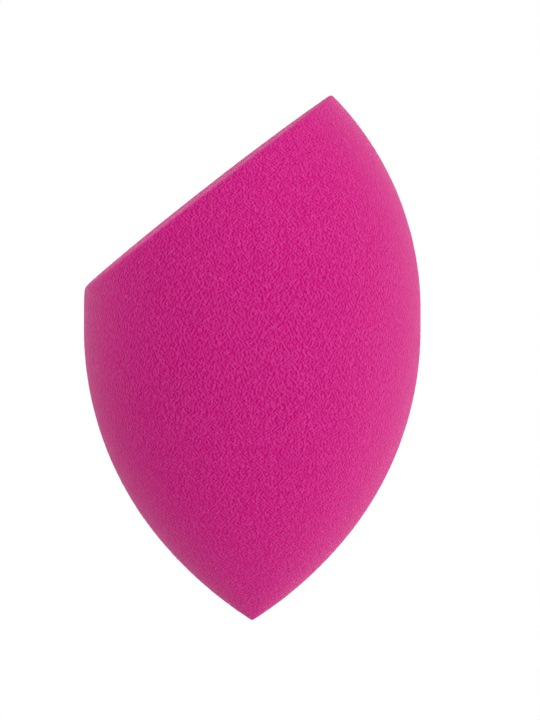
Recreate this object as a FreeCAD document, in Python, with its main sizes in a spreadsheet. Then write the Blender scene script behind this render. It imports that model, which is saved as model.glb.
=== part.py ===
# Makeup sponge: one block of soft foam, turned to a teardrop and sliced flat across its round end.
#
# Body frame: Z is the teardrop's own axis, with the widest section at Z = 0 and the tip towards +Z.
# Part frame: the sponge stands on its slanted flat face. The centre of that face is the origin,
# +Z is up, and the tip leans towards +X. Lengths are in millimetres and angles in degrees.
import FreeCAD, Part
import Sketcher
import math
import os

NODE = "sponge_body"

# Alias in the sheet, value, what it measures
SIZES = (
    ("belly_diameter", 40.0, "across the widest section"),
    ("belly_land", 2.3, "straight stretch of the side at the widest section"),
    ("crown_arc_radius", 36.2, "side of the round end, from the land up to the slice"),
    ("belly_arc_radius", 39.1, "side from the land towards the tip"),
    ("flank_start", 25.0, "along the axis, from the land to where the flank takes over"),
    ("flank_arc_radius", 47.5, "side of the flank, which runs on to the tip"),
    ("tip_radius", 0.2, "rounding of the tip"),
    ("slice_reach", 19.4, "along the axis, from the widest section to the slice"),
    ("slice_angle", 38.0, "between the slice and a cut square to the axis"),
    ("rim_radius", 0.35, "rounding of the rim round the flat face"),
)

# Places on a sketch's line or arc, and the sketch's own axes
START, END, CENTRE = 1, 2, 3
ACROSS, UPWARD = -1, -2
ORIGIN = (ACROSS, START)


def make_sheet(doc):
    """The driving dimensions, one row each: alias, value, meaning."""
    sheet = doc.addObject("Spreadsheet::Sheet", "Sizes")
    for row, (alias, value, meaning) in enumerate(SIZES, start=1):
        sheet.set(f"A{row}", alias)
        sheet.set(f"B{row}", str(value))
        sheet.set(f"C{row}", meaning)
        sheet.setAlias(f"B{row}", alias)
    doc.recompute()
    return sheet


def new_sketch(body, name):
    """An empty sketch on the body's own XZ plane, which is the sponge's plane of symmetry."""
    sketch = body.newObject("Sketcher::SketchObject", name)
    plane = next(item for item in body.Origin.OriginFeatures if item.Role == "XZ_Plane")
    sketch.AttachmentSupport = (plane, [""])
    sketch.MapMode = "FlatFace"
    return sketch


def hold(sketch, kind, *places):
    """Adds a constraint that has no size."""
    sketch.addConstraint(Sketcher.Constraint(kind, *places))


def measure(sketch, name, expression, kind, *places):
    """Adds a named dimension, which starts as drawn and follows the sheet from then on."""
    index = sketch.addConstraint(Sketcher.Constraint(kind, *places))
    sketch.renameConstraint(index, name)
    sketch.setExpression(f"Constraints.{name}", expression)


def arc(centre, radius, first, last):
    """An arc that turns anticlockwise from the first angle to the last, in radians."""
    return Part.ArcOfCircle(Part.Circle(centre, FreeCAD.Vector(0, 0, 1), radius), first, last)


def draw_profile(sketch, sheet):
    """Half of the teardrop's outline, from the apex of the round end to the tip, then back down the axis."""
    radius = sheet.belly_diameter / 2
    land = sheet.belly_land / 2

    crown_centre = FreeCAD.Vector(radius - sheet.crown_arc_radius, -land)
    crown_turn = math.acos(-crown_centre.x / sheet.crown_arc_radius)
    apex_height = crown_centre.y - sheet.crown_arc_radius * math.sin(crown_turn)

    belly_centre = FreeCAD.Vector(radius - sheet.belly_arc_radius, land)
    flank_turn = math.asin(sheet.flank_start / sheet.belly_arc_radius)
    outward = FreeCAD.Vector(math.cos(flank_turn), math.sin(flank_turn))
    flank_centre = belly_centre + outward * (sheet.belly_arc_radius - sheet.flank_arc_radius)

    # The tip's arc lies on the axis, just inside the flank's arc
    inner_radius = sheet.flank_arc_radius - sheet.tip_radius
    tip_turn = math.acos(-flank_centre.x / inner_radius)
    tip_centre = FreeCAD.Vector(0, flank_centre.y + inner_radius * math.sin(tip_turn))
    tip_height = tip_centre.y + sheet.tip_radius

    crown = sketch.addGeometry(arc(crown_centre, sheet.crown_arc_radius, -crown_turn, 0))
    side = sketch.addGeometry(
        Part.LineSegment(FreeCAD.Vector(radius, -land), FreeCAD.Vector(radius, land))
    )
    belly = sketch.addGeometry(arc(belly_centre, sheet.belly_arc_radius, 0, flank_turn))
    flank = sketch.addGeometry(arc(flank_centre, sheet.flank_arc_radius, flank_turn, tip_turn))
    tip = sketch.addGeometry(arc(tip_centre, sheet.tip_radius, tip_turn, math.pi / 2))
    axis = sketch.addGeometry(
        Part.LineSegment(FreeCAD.Vector(0, tip_height), FreeCAD.Vector(0, apex_height))
    )

    # Every piece runs smoothly into the next, and the two ends meet the axis
    outline = (crown, side, belly, flank, tip)
    for before, after in zip(outline, outline[1:]):
        hold(sketch, "Tangent", before, END, after, START)
    hold(sketch, "Coincident", tip, END, axis, START)
    hold(sketch, "Coincident", axis, END, crown, START)
    hold(sketch, "PointOnObject", axis, START, UPWARD)
    hold(sketch, "PointOnObject", axis, END, UPWARD)
    hold(sketch, "PointOnObject", tip, CENTRE, UPWARD)
    hold(sketch, "Vertical", side)

    measure(sketch, "radius", "Sizes.belly_diameter / 2", "DistanceX", *ORIGIN, side, START, radius)
    measure(sketch, "land_below", "Sizes.belly_land / 2", "DistanceY", side, START, *ORIGIN, land)
    measure(sketch, "land_above", "Sizes.belly_land / 2", "DistanceY", *ORIGIN, side, END, land)
    measure(
        sketch, "flank_start", "Sizes.flank_start",
        "DistanceY", side, END, flank, START, sheet.flank_start,
    )
    for name, piece in (("crown_arc", crown), ("belly_arc", belly), ("flank_arc", flank), ("tip", tip)):
        size = f"{name}_radius"
        measure(sketch, size, f"Sizes.{size}", "Radius", piece, getattr(sheet, size))


def draw_slice(sketch, sheet):
    """A block with one side along the slice, wide and deep enough to take the whole round end off."""
    turn = math.radians(sheet.slice_angle)
    along = FreeCAD.Vector(math.cos(turn), math.sin(turn))
    away = FreeCAD.Vector(math.sin(turn), -math.cos(turn))
    crossing = FreeCAD.Vector(0, -sheet.slice_reach)
    half_width = along * sheet.belly_diameter
    depth = away * sheet.belly_diameter
    corners = (
        crossing - half_width,
        crossing + half_width,
        crossing + half_width + depth,
        crossing - half_width + depth,
    )
    sides = [
        sketch.addGeometry(Part.LineSegment(corner, corners[(index + 1) % len(corners)]))
        for index, corner in enumerate(corners)
    ]
    middle = sketch.addGeometry(Part.Point(crossing))
    face, right, back, left = sides

    for before, after in zip(sides, sides[1:] + sides[:1]):
        hold(sketch, "Coincident", before, END, after, START)
    for before, after in ((face, right), (right, back), (back, left)):
        hold(sketch, "Perpendicular", before, after)
    hold(sketch, "PointOnObject", middle, START, UPWARD)
    hold(sketch, "Symmetric", face, START, face, END, middle, START)

    measure(
        sketch, "reach", "Sizes.slice_reach", "DistanceY", middle, START, *ORIGIN, sheet.slice_reach
    )
    measure(sketch, "angle", "Sizes.slice_angle", "Angle", ACROSS, START, face, START, turn)
    measure(sketch, "width", "2 * Sizes.belly_diameter", "Distance", face, 2 * sheet.belly_diameter)
    measure(sketch, "depth", "Sizes.belly_diameter", "Distance", right, sheet.belly_diameter)


def flat_face(shape):
    """The sponge's only flat face, where the slice went through."""
    return next(face for face in shape.Faces if isinstance(face.Surface, Part.Plane))


def make_sponge(doc, sheet):
    """The foam block: turned teardrop, slanted slice, rounded rim, set down on its flat face."""
    body = doc.addObject("PartDesign::Body", NODE)
    body.Label = NODE

    profile = new_sketch(body, "TeardropProfile")
    draw_profile(profile, sheet)
    teardrop = body.newObject("PartDesign::Revolution", "Teardrop")
    teardrop.Profile = profile
    teardrop.ReferenceAxis = (profile, ["V_Axis"])
    doc.recompute()

    cut_line = new_sketch(body, "SliceLine")
    draw_slice(cut_line, sheet)
    sliced = body.newObject("PartDesign::Pocket", "Slice")
    sliced.Profile = cut_line
    sliced.SideType = "Symmetric"
    sliced.Type = "ThroughAll"
    doc.recompute()
    if sliced.Shape.Volume >= teardrop.Shape.Volume:
        raise RuntimeError("the slice took nothing off the teardrop")

    rim = flat_face(sliced.Shape).OuterWire.Edges
    names = [
        f"Edge{number}"
        for number, edge in enumerate(sliced.Shape.Edges, start=1)
        if any(edge.isSame(part) for part in rim)
    ]
    rounded = body.newObject("PartDesign::Fillet", "RoundedRim")
    rounded.Base = (sliced, names)
    rounded.setExpression("Radius", "Sizes.rim_radius")
    doc.recompute()

    lean = FreeCAD.Rotation(FreeCAD.Vector(0, 1, 0), sheet.slice_angle)
    footing = lean.multVec(flat_face(rounded.Shape).CenterOfMass)
    body.Placement = FreeCAD.Placement(footing * -1, lean)
    doc.recompute()
    return body


def check(doc, body):
    """Stops if any object of the document failed, or the sponge is not one sound solid."""
    failed = [
        item.Name for item in doc.Objects if "Invalid" in item.State or "Error" in item.State
    ]
    if failed:
        raise RuntimeError(f"these did not build: {failed}")
    if body.Shape.isNull() or not body.Shape.isValid() or len(body.Shape.Solids) != 1:
        raise RuntimeError(f"{body.Label} is not one sound solid")


def main():
    doc = FreeCAD.newDocument("makeup_sponge")
    sheet = make_sheet(doc)
    body = make_sponge(doc, sheet)
    check(doc, body)

    os.makedirs("parts", exist_ok=True)
    body.Shape.exportStep(os.path.join("parts", f"{body.Label}.step"))
    box = body.Shape.optimalBoundingBox(True, False)
    print(f"{body.Label}: {body.Shape.Volume:.1f} mm3")
    print(f"box {box.XLength:.2f} x {box.YLength:.2f} x {box.ZLength:.2f} mm, lowest at {box.ZMin:.2f}")


main()
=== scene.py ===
"""Makeup sponge: a teardrop of fine foam, sliced flat across its round end, on a plain stage."""

import math

import bmesh
import bpy
from mathutils import Matrix, Vector


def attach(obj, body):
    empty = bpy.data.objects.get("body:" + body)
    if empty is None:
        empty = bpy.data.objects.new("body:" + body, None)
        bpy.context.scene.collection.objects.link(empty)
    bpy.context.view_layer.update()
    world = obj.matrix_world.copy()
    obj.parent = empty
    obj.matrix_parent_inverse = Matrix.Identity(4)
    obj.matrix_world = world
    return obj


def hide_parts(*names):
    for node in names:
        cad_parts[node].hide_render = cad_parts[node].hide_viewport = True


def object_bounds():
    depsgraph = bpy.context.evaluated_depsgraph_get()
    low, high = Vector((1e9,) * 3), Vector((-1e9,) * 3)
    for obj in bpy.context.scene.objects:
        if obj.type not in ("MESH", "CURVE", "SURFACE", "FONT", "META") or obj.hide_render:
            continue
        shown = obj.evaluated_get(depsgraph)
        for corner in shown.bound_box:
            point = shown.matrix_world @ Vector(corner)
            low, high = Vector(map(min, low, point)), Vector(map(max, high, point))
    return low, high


bl_info = {
    "name": "Makeup Sponge",
    "version": (1, 0, 0),
    "blender": (4, 5, 0),
    "location": "View3D > Sidebar > Sponge",
    "description": "Builds a foam makeup sponge and a plain studio stage for it",
    "category": "Object",
}

NODE = "sponge_body"
PIECE = "sponge_foam"
MM = 0.001

# Lean of the sponge's own axis from upright, towards +X
AXIS_LEAN = math.radians(38.0)

# The sensor side, in millimetres, that Blender fits to the picture's long side
SENSOR_WIDTH = 36.0

# Points of the solid that lie closer together than this are one point
MERGE_DISTANCE = 0.001 * MM

# Rounds of blur that even the mesh out, and that soften the rim by one side of a face
EVEN_STEPS = 3
SOFTENING_STEPS = 2.0

# Attribute that says how high a point of the foam lies in its relief: 0 in a gap, 1 on a clump. The
# material paints shade into the gaps by it
HEIGHT = "height"

# UV map to bake the foam through. It has a row of two charts for each of X, Y and Z.
# The rows' heights are measured on the foam, and the charts' centres across the map
BAKE_MAP = "OFBake"
CHART_ROWS = (29.0 * MM, 45.0 * MM, 34.0 * MM)
CHART_CENTRES = (0.25, 0.75)

# Where the rim grows soft: along the slice to its soft end, out to its long sides, and down to it
RIM_LENGTHS = (0.0 * MM, 10.0 * MM)
RIM_SIDES = (4.0 * MM, 11.0 * MM)
RIM_HEIGHTS = (0.6 * MM, 2.4 * MM)

# The slice's bow: half of its length, and the heights above it over which the bow dies away
FACE_HALF_LENGTH = 18.4 * MM
FACE_HEIGHTS = (0.1 * MM, 3.0 * MM)

# What the noise of the relief and that of the grain share, and the mean of such a noise
NOISE = {"Detail": 1.0, "Roughness": 0.5}
NOISE_MEAN = 0.5

# Levels of the noise between which the painted shade of a gap gives way to a clump, and the painted
# shade of a pore to the wall beside it
CLUMP_LEVELS = (0.3, 0.7)
PORE_LEVELS = (0.36, 0.62)

# The cells' long way in their own frame, and a turn that keeps the noise's grid out of line with it
CELL_AXIS = (0.0, 0.0, 1.0)
NOISE_TURN = (0.7, 0.5, 0.3)

# The grain's mean is taken this many cells off, with these shares round the girth and along the axis
CELL_REACH = 1.65
GIRTH_SHARE = 0.27
AXIS_SHARE = 0.13
GRAIN_STRENGTH = 0.85

# The floor's roughness, and the shares of its width, out from its middle, between which it fades
FLOOR_ROUGHNESS = 0.8
FLOOR_FADE = (0.1, 0.4)

# Sockets of a Mix node that mixes colours
MIX_FACTOR, MIX_FIRST, MIX_SECOND, MIX_COLOUR = 0, 6, 7, 2

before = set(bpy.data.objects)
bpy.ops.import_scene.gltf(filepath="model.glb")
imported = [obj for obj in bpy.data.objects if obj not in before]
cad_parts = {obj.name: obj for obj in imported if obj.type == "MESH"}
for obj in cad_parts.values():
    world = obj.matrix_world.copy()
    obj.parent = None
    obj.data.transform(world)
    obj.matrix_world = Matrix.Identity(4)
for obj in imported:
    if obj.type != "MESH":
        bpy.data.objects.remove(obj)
cad_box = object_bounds()


class Socket:
    """A socket of a node tree. Maths on it adds the nodes that work the result out."""

    def __init__(self, tree, socket):
        self.tree = tree
        self.socket = socket

    def node(self, kind, settings=None, inputs=None, output=0):
        """Adds a node to the tree: its settings first, then the values or links of its sockets."""
        made = self.tree.nodes.new(kind)
        for name, value in (settings or {}).items():
            setattr(made, name, value)
        for name, value in (inputs or {}).items():
            if isinstance(value, Socket):
                self.tree.links.new(value.socket, made.inputs[name])
            else:
                made.inputs[name].default_value = value
        return Socket(self.tree, made.outputs[output])

    def maths(self, operation, first, second=0.0):
        """The result of one Math node."""
        return self.node("ShaderNodeMath", {"operation": operation}, {0: first, 1: second})

    def __add__(self, other):
        return self.maths("ADD", self, other)

    def __radd__(self, other):
        return self.maths("ADD", other, self)

    def __sub__(self, other):
        return self.maths("SUBTRACT", self, other)

    def __rsub__(self, other):
        return self.maths("SUBTRACT", other, self)

    def __mul__(self, other):
        return self.maths("MULTIPLY", self, other)

    def __rmul__(self, other):
        return self.maths("MULTIPLY", other, self)

    def __truediv__(self, other):
        return self.maths("DIVIDE", self, other)

    def __rtruediv__(self, other):
        return self.maths("DIVIDE", other, self)

    def __neg__(self):
        return self.maths("MULTIPLY", self, -1.0)

    def __abs__(self):
        return self.maths("ABSOLUTE", self)

    def __gt__(self, other):
        return self.maths("GREATER_THAN", self, other)

    def ramp(self, start, end):
        """0 at start and 1 at end, with a smooth rise between them."""
        inputs = {"Value": self, "From Min": start, "From Max": end}
        return self.node("ShaderNodeMapRange", {"interpolation_type": "SMOOTHSTEP"}, inputs)

    def parts(self):
        """The X, Y and Z of a vector."""
        split = self.node("ShaderNodeSeparateXYZ", None, {0: self}).socket.node
        return [Socket(self.tree, part) for part in split.outputs]

    def blend(self, share, first, second):
        """The first colour where the share is 0, and the second where it is 1."""
        inputs = {MIX_FACTOR: share, MIX_FIRST: first, MIX_SECOND: second}
        return self.node("ShaderNodeMix", {"data_type": "RGBA"}, inputs, MIX_COLOUR)


class SpongeFoam(bpy.types.PropertyGroup):
    """Sizes and colours of the foam."""

    mesh_step: bpy.props.FloatProperty(
        name="Mesh Step",
        description="Side of a face of the foam's mesh",
        default=0.15 * MM, unit="LENGTH",
    )
    rim_softness: bpy.props.FloatProperty(
        name="Rim Softness",
        description="How far the long sides of the slice's rim give way",
        default=0.45 * MM, unit="LENGTH",
    )
    face_bow: bpy.props.FloatProperty(
        name="Face Bow",
        description="How far the middle of the slice stands proud of its two ends",
        default=0.25 * MM, unit="LENGTH",
    )
    relief_size: bpy.props.FloatProperty(
        name="Relief Size",
        description="From one clump of cells to the next",
        default=0.5 * MM, unit="LENGTH",
    )
    relief_depth: bpy.props.FloatProperty(
        name="Relief Depth",
        description="From the highest clump to the deepest gap",
        default=0.07 * MM, unit="LENGTH",
    )
    grain_width: bpy.props.FloatProperty(
        name="Grain Width",
        description="Across the sponge's axis, from one cell to the next",
        default=0.145 * MM, unit="LENGTH",
    )
    grain_length: bpy.props.FloatProperty(
        name="Grain Length",
        description="Along the sponge's axis, from one cell to the next",
        default=0.29 * MM, unit="LENGTH",
    )
    grain_depth: bpy.props.FloatProperty(
        name="Grain Depth",
        description="Depth of the cells",
        default=0.19 * MM, unit="LENGTH",
    )
    # The clump and gap colours are lit and shaded copies of the walls' colour: the gap's is painted
    # shade, darker and deeper where the gaps between clumps lie low
    clump_colour: bpy.props.FloatVectorProperty(
        name="Clump Colour",
        description="Walls between the pores, on top of a clump",
        default=(0.70, 0.044, 0.298, 1.0), min=0.0, max=1.0, size=4, subtype="COLOR",
    )
    gap_shade_colour: bpy.props.FloatVectorProperty(
        name="Gap Colour",
        description="Walls between the pores, in a gap between clumps",
        default=(0.69, 0.021, 0.278, 1.0), min=0.0, max=1.0, size=4, subtype="COLOR",
    )
    # Painted shade: the foam's colour made darker and deeper at the bottom of a pore, where the
    # cells shade it
    pore_shade_colour: bpy.props.FloatVectorProperty(
        name="Pore Colour",
        description="Foam at the bottom of a pore",
        default=(0.5, 0.0, 0.15, 1.0), min=0.0, max=1.0, size=4, subtype="COLOR",
    )
    roughness: bpy.props.FloatProperty(
        name="Roughness",
        description="Roughness of the foam",
        default=0.5, min=0.0, max=1.0, subtype="FACTOR",
    )
    specular: bpy.props.FloatProperty(
        name="Specular",
        description="Strength of the foam's gloss",
        default=0.045, min=0.0, max=1.0, subtype="FACTOR",
    )
    sheen: bpy.props.FloatProperty(
        name="Sheen",
        description="Paleness where the foam is seen edge on",
        default=0.16, min=0.0, max=1.0, subtype="FACTOR",
    )
    sheen_roughness: bpy.props.FloatProperty(
        name="Sheen Roughness",
        description="How far the paleness spreads from the edge",
        default=0.27, min=0.0, max=1.0, subtype="FACTOR",
    )


class SpongeStage(bpy.types.PropertyGroup):
    """Camera, light and floor."""

    camera_distance: bpy.props.FloatProperty(
        name="Camera Distance",
        description="From the camera to the sponge",
        default=1.2, unit="LENGTH",
    )
    camera_raise: bpy.props.FloatProperty(
        name="Camera Raise",
        description="Angle by which the camera looks past the flat face",
        default=math.radians(2.4), subtype="ANGLE",
    )
    picture_height: bpy.props.FloatProperty(
        name="Picture Height",
        description="Height that the picture covers at the sponge",
        default=85.545 * MM, unit="LENGTH",
    )
    aim_right: bpy.props.FloatProperty(
        name="Aim Right",
        description="From the sponge's middle to the picture's, to the right",
        default=-1.696 * MM, unit="LENGTH",
    )
    aim_up: bpy.props.FloatProperty(
        name="Aim Up",
        description="From the sponge's middle to the picture's, upwards",
        default=0.57 * MM, unit="LENGTH",
    )
    sky_strength: bpy.props.FloatProperty(
        name="Sky Strength",
        description="Even light from all round",
        default=0.785, min=0.0,
    )
    key_strength: bpy.props.FloatProperty(
        name="Key Strength",
        description="Light that the key lamp sheds on a surface that faces it",
        default=0.305, min=0.0,
    )
    key_turn: bpy.props.FloatProperty(
        name="Key Turn",
        description="Angle from the camera to the key lamp, to the right",
        default=math.radians(54.0), subtype="ANGLE",
    )
    key_height: bpy.props.FloatProperty(
        name="Key Height",
        description="Angle of the key lamp above the camera",
        default=math.radians(-11.0), subtype="ANGLE",
    )
    fill_strength: bpy.props.FloatProperty(
        name="Fill Strength",
        description="Light that the fill lamp sheds on a surface that faces it",
        default=0.325, min=0.0,
    )
    fill_turn: bpy.props.FloatProperty(
        name="Fill Turn",
        description="Angle from the camera to the fill lamp, to the right",
        default=math.radians(-40.0), subtype="ANGLE",
    )
    fill_height: bpy.props.FloatProperty(
        name="Fill Height",
        description="Angle of the fill lamp above the camera",
        default=math.radians(80.0), subtype="ANGLE",
    )
    back_strength: bpy.props.FloatProperty(
        name="Back Strength",
        description="Light that the back lamp sheds on a surface that faces it",
        default=0.24, min=0.0,
    )
    back_turn: bpy.props.FloatProperty(
        name="Back Turn",
        description="Angle from the camera to the back lamp, to the right",
        default=math.radians(120.0), subtype="ANGLE",
    )
    back_height: bpy.props.FloatProperty(
        name="Back Height",
        description="Angle of the back lamp above the camera",
        default=math.radians(-14.0), subtype="ANGLE",
    )
    lamp_size: bpy.props.FloatProperty(
        name="Lamp Size",
        description="Width of a lamp",
        default=0.5, unit="LENGTH",
    )
    lamp_distance: bpy.props.FloatProperty(
        name="Lamp Distance",
        description="From a lamp to the sponge",
        default=0.8, unit="LENGTH",
    )
    floor_width: bpy.props.FloatProperty(
        name="Floor Width",
        description="Side of the floor",
        default=1.2, unit="LENGTH",
    )
    floor_gap: bpy.props.FloatProperty(
        name="Floor Gap",
        description="From the floor to the flat face",
        default=0.3 * MM, unit="LENGTH",
    )
    floor_colour: bpy.props.FloatVectorProperty(
        name="Floor Colour",
        description="Colour of the floor",
        default=(0.9, 0.9, 0.9, 1.0), min=0.0, max=1.0, size=4, subtype="COLOR",
    )


def even_mesh(name, step):
    """A copy of the CAD solid with faces of one size all over."""
    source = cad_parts[NODE].data.copy()
    work = bmesh.new()
    work.from_mesh(source)
    bmesh.ops.remove_doubles(work, verts=work.verts, dist=MERGE_DISTANCE)
    work.to_mesh(source)
    work.free()
    source.materials.clear()
    piece = bpy.data.objects.new(name, source)
    bpy.context.scene.collection.objects.link(piece)
    remesh = piece.modifiers.new("Even mesh", "REMESH")
    remesh.mode = "VOXEL"
    remesh.voxel_size = step
    return piece


def bake_place(mesh):
    """A point's place in the bake map: in the chart of the way that its face looks most."""
    low, high = cad_box
    position = mesh.node("GeometryNodeInputPosition")
    normal = mesh.node("GeometryNodeInputNormal")
    facing = mesh.node(
        "GeometryNodeFieldOnDomain", {"domain": "FACE", "data_type": "FLOAT_VECTOR"}, {0: normal}
    )
    x, y, z = (part - middle for part, middle in zip(position.parts(), (low + high) / 2))
    faces = facing.parts()
    sizes = [abs(face) for face in faces]
    on_x = (sizes[0] > sizes[1]) * (sizes[0] > sizes[2])
    on_y = (1.0 - on_x) * (sizes[1] > sizes[2])
    on_z = 1.0 - on_x - on_y
    map_side = sum(CHART_ROWS)
    first, second = CHART_CENTRES
    across = (on_x * z + (1.0 - on_x) * x) / map_side + first
    upward = (on_y * z + (1.0 - on_y) * y) / map_side
    below = 0.0
    for side, face, row in zip((on_x, on_y, on_z), faces, CHART_ROWS):
        across = across + side * (face > 0.0) * (second - first)
        upward = upward + side * ((below + row / 2) / map_side)
        below += row
    return mesh.node("ShaderNodeCombineXYZ", None, {"X": across, "Y": upward})


def relief_tree():
    """Geometry nodes that lay a mesh on the solid, soften its rim and raise the foam's relief."""
    tree = bpy.data.node_groups.new("Foam Relief", "GeometryNodeTree")
    tree.interface.new_socket("Geometry", in_out="OUTPUT", socket_type="NodeSocketGeometry")
    for name, kind in (
        ("Geometry", "NodeSocketGeometry"),
        ("Solid", "NodeSocketObject"),
        ("Rim Steps", "NodeSocketInt"),
        ("Face Bow", "NodeSocketFloat"),
        ("Relief Size", "NodeSocketFloat"),
        ("Relief Depth", "NodeSocketFloat"),
        ("Foam", "NodeSocketMaterial"),
    ):
        tree.interface.new_socket(name, in_out="INPUT", socket_type=kind)
    start = tree.nodes.new("NodeGroupInput")
    given = {socket.name: Socket(tree, socket) for socket in start.outputs if socket.name}
    mesh = given["Geometry"]
    position = mesh.node("GeometryNodeInputPosition")
    normal = mesh.node("GeometryNodeInputNormal")

    # The remeshed copy has small steps and worn edges, so it is evened out and laid on the solid
    smooth = mesh.node(
        "GeometryNodeBlurAttribute", {"data_type": "FLOAT_VECTOR"},
        {"Value": position, "Iterations": EVEN_STEPS}, "Value",
    )
    even = mesh.node("GeometryNodeSetPosition", None, {"Geometry": mesh, "Position": smooth})
    solid = mesh.node("GeometryNodeObjectInfo", None, {"Object": given["Solid"]}, "Geometry")
    nearest = mesh.node(
        "GeometryNodeProximity", {"target_element": "FACES"}, {0: solid}, "Position"
    )
    laid = mesh.node("GeometryNodeSetPosition", None, {"Geometry": even, "Position": nearest})

    # The rim is soft, apart from the one end that stays as sharp as the knife left it
    along, side, above = position.parts()
    blunt = mesh.maths("MAXIMUM", along.ramp(*RIM_LENGTHS), abs(side).ramp(*RIM_SIDES))
    softness = blunt * (1.0 - above.ramp(*RIM_HEIGHTS))
    given_way = mesh.node(
        "GeometryNodeBlurAttribute", {"data_type": "FLOAT_VECTOR"},
        {"Value": position, "Iterations": given["Rim Steps"], "Weight": softness}, "Value",
    )
    soft = mesh.node("GeometryNodeSetPosition", None, {"Geometry": laid, "Position": given_way})

    # The knife bent a little, so the slice bows out between its two ends
    share = along / FACE_HALF_LENGTH
    bow = mesh.maths("MAXIMUM", 1.0 - share * share) * (1.0 - above.ramp(*FACE_HEIGHTS))
    down = mesh.node("ShaderNodeCombineXYZ", None, {"Z": -bow * given["Face Bow"]})
    bowed = mesh.node("GeometryNodeSetPosition", None, {"Geometry": soft, "Offset": down})
    mapped = mesh.node(
        "GeometryNodeStoreNamedAttribute", {"data_type": "FLOAT2", "domain": "CORNER"},
        {"Geometry": bowed, "Name": BAKE_MAP, "Value": bake_place(mesh)},
    )

    # Clumps stand out of the foam and gaps lie in it, and the material reads their height to paint
    # shade into the gaps
    height = mesh.node(
        "ShaderNodeTexNoise", {"noise_dimensions": "3D"},
        {"Vector": position, "Scale": 1.0 / given["Relief Size"], **NOISE},
    )
    noted = mesh.node(
        "GeometryNodeStoreNamedAttribute", {"data_type": "FLOAT", "domain": "POINT"},
        {"Geometry": mapped, "Name": HEIGHT, "Value": height},
    )
    rise = mesh.node(
        "ShaderNodeVectorMath", {"operation": "SCALE"},
        {0: normal, "Scale": (height - NOISE_MEAN) * given["Relief Depth"]},
    )
    raised = mesh.node("GeometryNodeSetPosition", None, {"Geometry": noted, "Offset": rise})
    shaded = mesh.node("GeometryNodeSetShadeSmooth", None, {"Geometry": raised})
    real = mesh.node("GeometryNodeRealizeInstances", None, {"Geometry": shaded})
    dressed = mesh.node(
        "GeometryNodeSetMaterial", None, {"Geometry": real, "Material": given["Foam"]}
    )
    end = tree.nodes.new("NodeGroupOutput")
    tree.links.new(dressed.socket, end.inputs["Geometry"])
    return tree


def apply_tree(piece, tree, values):
    """Runs a tree on a piece with these inputs, by name, and keeps the result as a plain mesh."""
    modifier = piece.modifiers.new(tree.name, "NODES")
    modifier.node_group = tree
    for item in tree.interface.items_tree:
        if item.in_out == "INPUT" and item.name in values:
            modifier[item.identifier] = values[item.name]
    depsgraph = bpy.context.evaluated_depsgraph_get()
    mesh = bpy.data.meshes.new_from_object(
        piece.evaluated_get(depsgraph), preserve_all_data_layers=True, depsgraph=depsgraph
    )
    piece.modifiers.clear()
    piece.data = mesh
    mesh.name = piece.name


def cell_grain(start, foam):
    """The foam's cells: noise, less its mean at four places round it, so that nothing blotches."""

    def mapped(kind, at, **inputs):
        return start.node("ShaderNodeMapping", {"vector_type": kind}, {"Vector": at, **inputs})

    def vector(operation, *inputs):
        return start.node("ShaderNodeVectorMath", {"operation": operation}, dict(enumerate(inputs)))

    def noise(at):
        inputs = {"Vector": mapped("POINT", at, Rotation=NOISE_TURN), "Scale": 1.0, **NOISE}
        return start.node("ShaderNodeTexNoise", {"noise_dimensions": "3D"}, inputs) - NOISE_MEAN

    place = start.node("ShaderNodeTexCoord", None, None, "Object")
    normal = start.node("ShaderNodeNewGeometry", None, None, "Normal")
    lean = (0.0, AXIS_LEAN, 0.0)
    cell = (foam.grain_width, foam.grain_width, foam.grain_length)
    cells = mapped("TEXTURE", place, Rotation=lean, Scale=cell)
    facing = mapped("TEXTURE", normal, Rotation=lean)
    girth = vector("NORMALIZE", vector("CROSS_PRODUCT", facing, CELL_AXIS))
    round_it = vector("MULTIPLY", girth, (CELL_REACH, CELL_REACH, CELL_REACH))
    along_it = Vector(CELL_AXIS) * CELL_REACH
    grain = noise(cells)
    for step, share in ((round_it, GIRTH_SHARE), (along_it, AXIS_SHARE)):
        for operation in ("ADD", "SUBTRACT"):
            grain = grain - noise(vector(operation, cells, step)) * share
    return NOISE_MEAN + grain * GRAIN_STRENGTH


def foam_material(foam):
    """Matte foam: pale on the walls between the cells, with painted shade that makes it darker and
    deeper in colour inside them and in the gaps between clumps.
    """
    material = bpy.data.materials.new("Sponge foam")
    material.use_nodes = True
    tree = material.node_tree
    shader = tree.nodes["Principled BSDF"]
    start = Socket(tree, shader.inputs["Base Color"])
    height = start.node("ShaderNodeAttribute", {"attribute_name": HEIGHT}, None, "Fac")
    grain = cell_grain(start, foam)
    # Painted shade: the walls' colour deepens in the low gaps between clumps
    walls = start.blend(height.ramp(*CLUMP_LEVELS), foam.gap_shade_colour, foam.clump_colour)
    # Painted shade: the colour goes darker and deeper inside the pores
    colour = start.blend(grain.ramp(*PORE_LEVELS), foam.pore_shade_colour, walls)
    bump = start.node("ShaderNodeBump", None, {"Height": grain * foam.grain_depth, "Distance": 1.0})
    tree.links.new(colour.socket, shader.inputs["Base Color"])
    tree.links.new(bump.socket, shader.inputs["Normal"])
    shader.inputs["Roughness"].default_value = foam.roughness
    shader.inputs["Specular IOR Level"].default_value = foam.specular
    shader.inputs["Sheen Weight"].default_value = foam.sheen
    shader.inputs["Sheen Roughness"].default_value = foam.sheen_roughness
    return material


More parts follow.
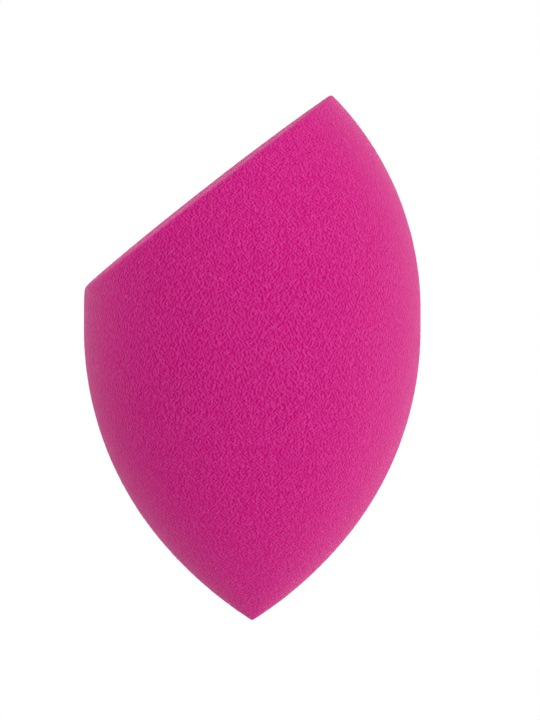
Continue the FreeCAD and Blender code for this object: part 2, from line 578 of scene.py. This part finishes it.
class SPONGE_OT_foam(bpy.types.Operator):
    """Builds the foam sponge round the CAD solid"""

    bl_idname = "sponge.foam"
    bl_label = "Foam Sponge"

    def execute(self, context):
        foam = context.scene.sponge_foam
        piece = even_mesh(PIECE, foam.mesh_step)
        values = {
            "Solid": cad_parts[NODE],
            "Rim Steps": round(SOFTENING_STEPS * (foam.rim_softness / foam.mesh_step) ** 2),
            "Face Bow": foam.face_bow,
            "Relief Size": foam.relief_size,
            "Relief Depth": foam.relief_depth,
            "Foam": foam_material(foam),
        }
        apply_tree(piece, relief_tree(), values)
        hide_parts(NODE)
        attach(piece, "root")
        return {"FINISHED"}


def picture_axes():
    """The picture's right, its up, and the way towards a level camera, in the part's frame."""
    right = Vector((-math.cos(AXIS_LEAN), 0.0, math.sin(AXIS_LEAN)))
    up = Vector((-math.sin(AXIS_LEAN), 0.0, -math.cos(AXIS_LEAN)))
    return right, up, right.cross(up)


def make_camera(stage):
    """A distant camera that sees the sponge tip down and the slice almost edge on."""
    right, up, towards = picture_axes()
    low, high = cad_box
    aim = (low + high) / 2 + right * stage.aim_right + up * stage.aim_up
    back = towards * math.cos(stage.camera_raise) + up * math.sin(stage.camera_raise)
    top = back.cross(right)
    data = bpy.data.cameras.new("Camera")
    data.sensor_width = SENSOR_WIDTH
    data.lens = SENSOR_WIDTH * stage.camera_distance / stage.picture_height
    camera = bpy.data.objects.new("Camera", data)
    turn = Matrix((right, top, back)).transposed().to_4x4()
    camera.matrix_world = Matrix.Translation(aim + back * stage.camera_distance) @ turn
    bpy.context.scene.collection.objects.link(camera)
    bpy.context.scene.camera = camera


def make_world(stage):
    """Even light from all round, in front of a white background."""
    world = bpy.data.worlds.new("Studio")
    bpy.context.scene.world = world
    world.use_nodes = True
    tree = world.node_tree
    background = tree.nodes["Background"]
    start = Socket(tree, background.inputs["Strength"])
    camera, glossy, through = (
        start.node("ShaderNodeLightPath", None, None, rays)
        for rays in ("Is Camera Ray", "Is Glossy Ray", "Is Transmission Ray")
    )
    white = camera + glossy + through > 0.0
    strength = stage.sky_strength + white * (1.0 - stage.sky_strength)
    background.inputs["Color"].default_value = (1.0, 1.0, 1.0, 1.0)
    tree.links.new(strength.socket, background.inputs["Strength"])


def make_lamp(stage, name, strength, turn, height):
    """A soft round lamp, whose power gives the wanted light at the sponge."""
    right, up, towards = picture_axes()
    level = right * math.sin(turn) + towards * math.cos(turn)
    way = level * math.cos(height) + up * math.sin(height)
    data = bpy.data.lights.new(name, "AREA")
    data.shape = "DISK"
    data.size = stage.lamp_size
    reach = stage.lamp_distance ** 2 + (stage.lamp_size / 2) ** 2
    data.energy = strength * math.pi * math.pi * reach
    lamp = bpy.data.objects.new(name, data)
    low, high = cad_box
    place = Matrix.Translation((low + high) / 2 + way * stage.lamp_distance)
    lamp.matrix_world = place @ way.to_track_quat("Z", "Y").to_matrix().to_4x4()
    bpy.context.scene.collection.objects.link(lamp)


def floor_material(stage):
    """Pale card that fades into the background, and is clear to a camera that is under it."""
    material = bpy.data.materials.new("Studio floor")
    material.use_nodes = True
    tree = material.node_tree
    shader = tree.nodes["Principled BSDF"]
    shader.inputs["Base Color"].default_value = stage.floor_colour
    shader.inputs["Roughness"].default_value = FLOOR_ROUGHNESS
    start = Socket(tree, shader.outputs["BSDF"])
    place = start.node("ShaderNodeTexCoord", None, None, "Object")
    out = start.node("ShaderNodeVectorMath", {"operation": "LENGTH"}, {0: place}, "Value")
    under = start.node("ShaderNodeNewGeometry", None, None, "Backfacing")
    fade = out.ramp(*(share * stage.floor_width for share in FLOOR_FADE))
    solid = (1.0 - under) * (1.0 - fade)
    clear = start.node("ShaderNodeBsdfTransparent")
    mixed = start.node("ShaderNodeMixShader", None, {0: solid, 1: clear, 2: start})
    tree.links.new(mixed.socket, tree.nodes["Material Output"].inputs["Surface"])
    return material


def make_floor(stage):
    """A flat square just under the sponge, which only the camera sees."""
    mesh = bpy.data.meshes.new("Floor")
    work = bmesh.new()
    bmesh.ops.create_grid(work, x_segments=1, y_segments=1, size=stage.floor_width / 2)
    work.to_mesh(mesh)
    work.free()
    mesh.transform(Matrix.Translation((0.0, 0.0, -stage.floor_gap)))
    mesh.materials.append(floor_material(stage))
    floor = bpy.data.objects.new("Floor", mesh)
    floor.visible_diffuse = False
    floor.visible_glossy = False
    floor.visible_transmission = False
    floor.visible_shadow = False
    bpy.context.scene.collection.objects.link(floor)


class SPONGE_OT_stage(bpy.types.Operator):
    """Builds the floor, the light and the camera"""

    bl_idname = "sponge.stage"
    bl_label = "Studio Stage"

    def execute(self, context):
        stage = context.scene.sponge_stage
        make_camera(stage)
        make_world(stage)
        make_lamp(stage, "Key", stage.key_strength, stage.key_turn, stage.key_height)
        make_lamp(stage, "Fill", stage.fill_strength, stage.fill_turn, stage.fill_height)
        make_lamp(stage, "Back", stage.back_strength, stage.back_turn, stage.back_height)
        make_floor(stage)
        return {"FINISHED"}


class SPONGE_PT_panel(bpy.types.Panel):
    """Lists the sponge's builders"""

    bl_idname = "SPONGE_PT_panel"
    bl_label = "Makeup Sponge"
    bl_space_type = "VIEW_3D"
    bl_region_type = "UI"
    bl_category = "Sponge"

    def draw(self, context):
        for group, operator in (
            (context.scene.sponge_foam, SPONGE_OT_foam),
            (context.scene.sponge_stage, SPONGE_OT_stage),
        ):
            for name in group.__annotations__:
                self.layout.prop(group, name)
            self.layout.operator(operator.bl_idname)


CLASSES = (SpongeFoam, SpongeStage, SPONGE_OT_foam, SPONGE_OT_stage, SPONGE_PT_panel)


def register():
    """Registers the classes and gives every scene their settings."""
    for item in CLASSES:
        bpy.utils.register_class(item)
    bpy.types.Scene.sponge_foam = bpy.props.PointerProperty(type=SpongeFoam)
    bpy.types.Scene.sponge_stage = bpy.props.PointerProperty(type=SpongeStage)


def unregister():
    """Takes away what register added."""
    del bpy.types.Scene.sponge_stage
    del bpy.types.Scene.sponge_foam
    for item in reversed(CLASSES):
        bpy.utils.unregister_class(item)


def main():
    """Builds the sponge and its stage."""
    register()
    bpy.context.scene.view_settings.view_transform = "Standard"
    bpy.ops.sponge.foam()
    bpy.ops.sponge.stage()


if __name__ == "__main__":
    main()
